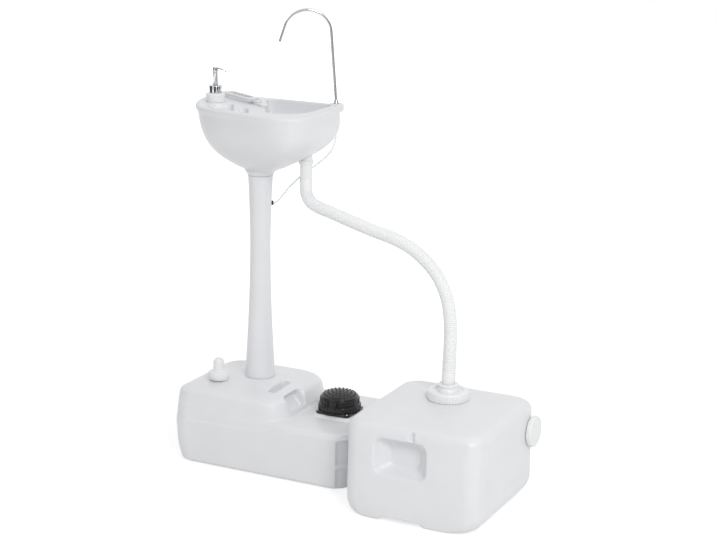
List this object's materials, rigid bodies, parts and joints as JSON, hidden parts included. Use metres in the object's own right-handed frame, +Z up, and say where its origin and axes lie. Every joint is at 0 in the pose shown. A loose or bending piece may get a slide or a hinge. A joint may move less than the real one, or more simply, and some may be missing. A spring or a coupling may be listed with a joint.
{
  "type": "portable handwash station",
  "caption": "Free-standing handwash basin on a pedestal over a fresh water tank with a foot pump, a bent faucet, a soap dispenser and a separate waste tank joined by a ribbed drain hose",
  "frame": {"origin": "on the floor under the pedestal's axis, in the base tank's flat bottom", "axes": "+X to the right along both tanks, +Y to the back, +Z up"},
  "size_m": [1.0559, 0.499, 1.2626],
  "materials": {
    "moulded": "moulded polyethylene, fine satin",
    "white": "satin white plastic",
    "white_hose": "soft ribbed plastic",
    "rubber": "black moulded rubber",
    "black": "black plastic, half gloss",
    "steel": "plain steel",
    "chrome": "polished chrome",
    "clear_tube": "clear soft tube"
  },
  "bodies": {
    "stand": {"base_tank": "moulded", "pump_gasket": "rubber", "pump_flange": "black", "pump_screws": "steel", "pump_valve_body": "white", "valve_flaps": "rubber", "pump_spring": "steel", "pump_bellows": "rubber", "suction_tube": "clear_tube", "suction_strainer": "white", "delivery_tube": "clear_tube", "tube_seal": "rubber", "pedestal": "moulded", "tube_grommet": "rubber", "basin": "moulded", "drain_body": "white", "drain_gasket": "rubber", "drain_nut": "white", "drain_tail": "white", "drain_hose": "white_hose", "supply_tube": "clear_tube", "towel_bracket": "moulded", "towel_pin": "steel", "waste_tank": "moulded", "waste_gasket": "rubber", "hose_connector": "white"},
    "foot_pump": {"pump_crown": "rubber"},
    "faucet": {"faucet_tube": "chrome", "faucet_foot": "chrome", "faucet_nut": "white", "faucet_barb": "white"},
    "soap_dispenser": {"soap_bottle": "white", "soap_cap": "white", "soap_collar": "chrome", "soap_cylinder": "white", "soap_dip_tube": "clear_tube", "soap_spring": "steel"},
    "soap_pump": {"soap_head": "chrome"},
    "fill_lid": {"fill_cap": "white", "fill_gasket": "rubber"},
    "towel_holder": {"towel_arm": "moulded"},
    "hose_ring": {"waste_ring": "white"},
    "end_lid": {"end_cap": "white", "end_gasket": "rubber"}
  },
  "joints": [
    {"name": "pump_press", "type": "slide", "parent": "stand", "child": "foot_pump", "axis": [0, 0, -1], "range_m": [0, 0.026], "stiffness_N_per_m": 800, "springref_m": -0.01, "deforming": ["pump_bellows", "pump_spring"]},
    {"name": "faucet_swing", "type": "hinge", "parent": "stand", "child": "faucet", "pos_m": [0.148, 0.167, 1], "axis": [0, 0, 1], "range_deg": [-60, 60]},
    {"name": "soap_lift", "type": "slide", "parent": "stand", "child": "soap_dispenser", "axis": [0, 0, 1], "range_m": [0, 0.12]},
    {"name": "soap_push", "type": "slide", "parent": "soap_dispenser", "child": "soap_pump", "axis": [0, 0, -1], "range_m": [0, 0.009], "stiffness_N_per_m": 300, "springref_m": -0.01, "deforming": ["soap_spring"]},
    {"name": "fill_cap_lift", "type": "slide", "parent": "stand", "child": "fill_lid", "axis": [0, 0, 1], "range_m": [0, 0.05]},
    {"name": "towel_swing", "type": "hinge", "parent": "stand", "child": "towel_holder", "pos_m": [-0.032, 0.038, 1.006], "axis": [0, 0, 1], "range_deg": [-100, 0]},
    {"name": "waste_ring_turn", "type": "hinge", "parent": "stand", "child": "hose_ring", "pos_m": [0.606, -0.052, 0.28], "axis": [0, 0, 1], "continuous": true},
    {"name": "end_cap_pull", "type": "slide", "parent": "stand", "child": "end_lid", "axis": [1, 0, 0], "range_m": [0, 0.04]}
  ]
}
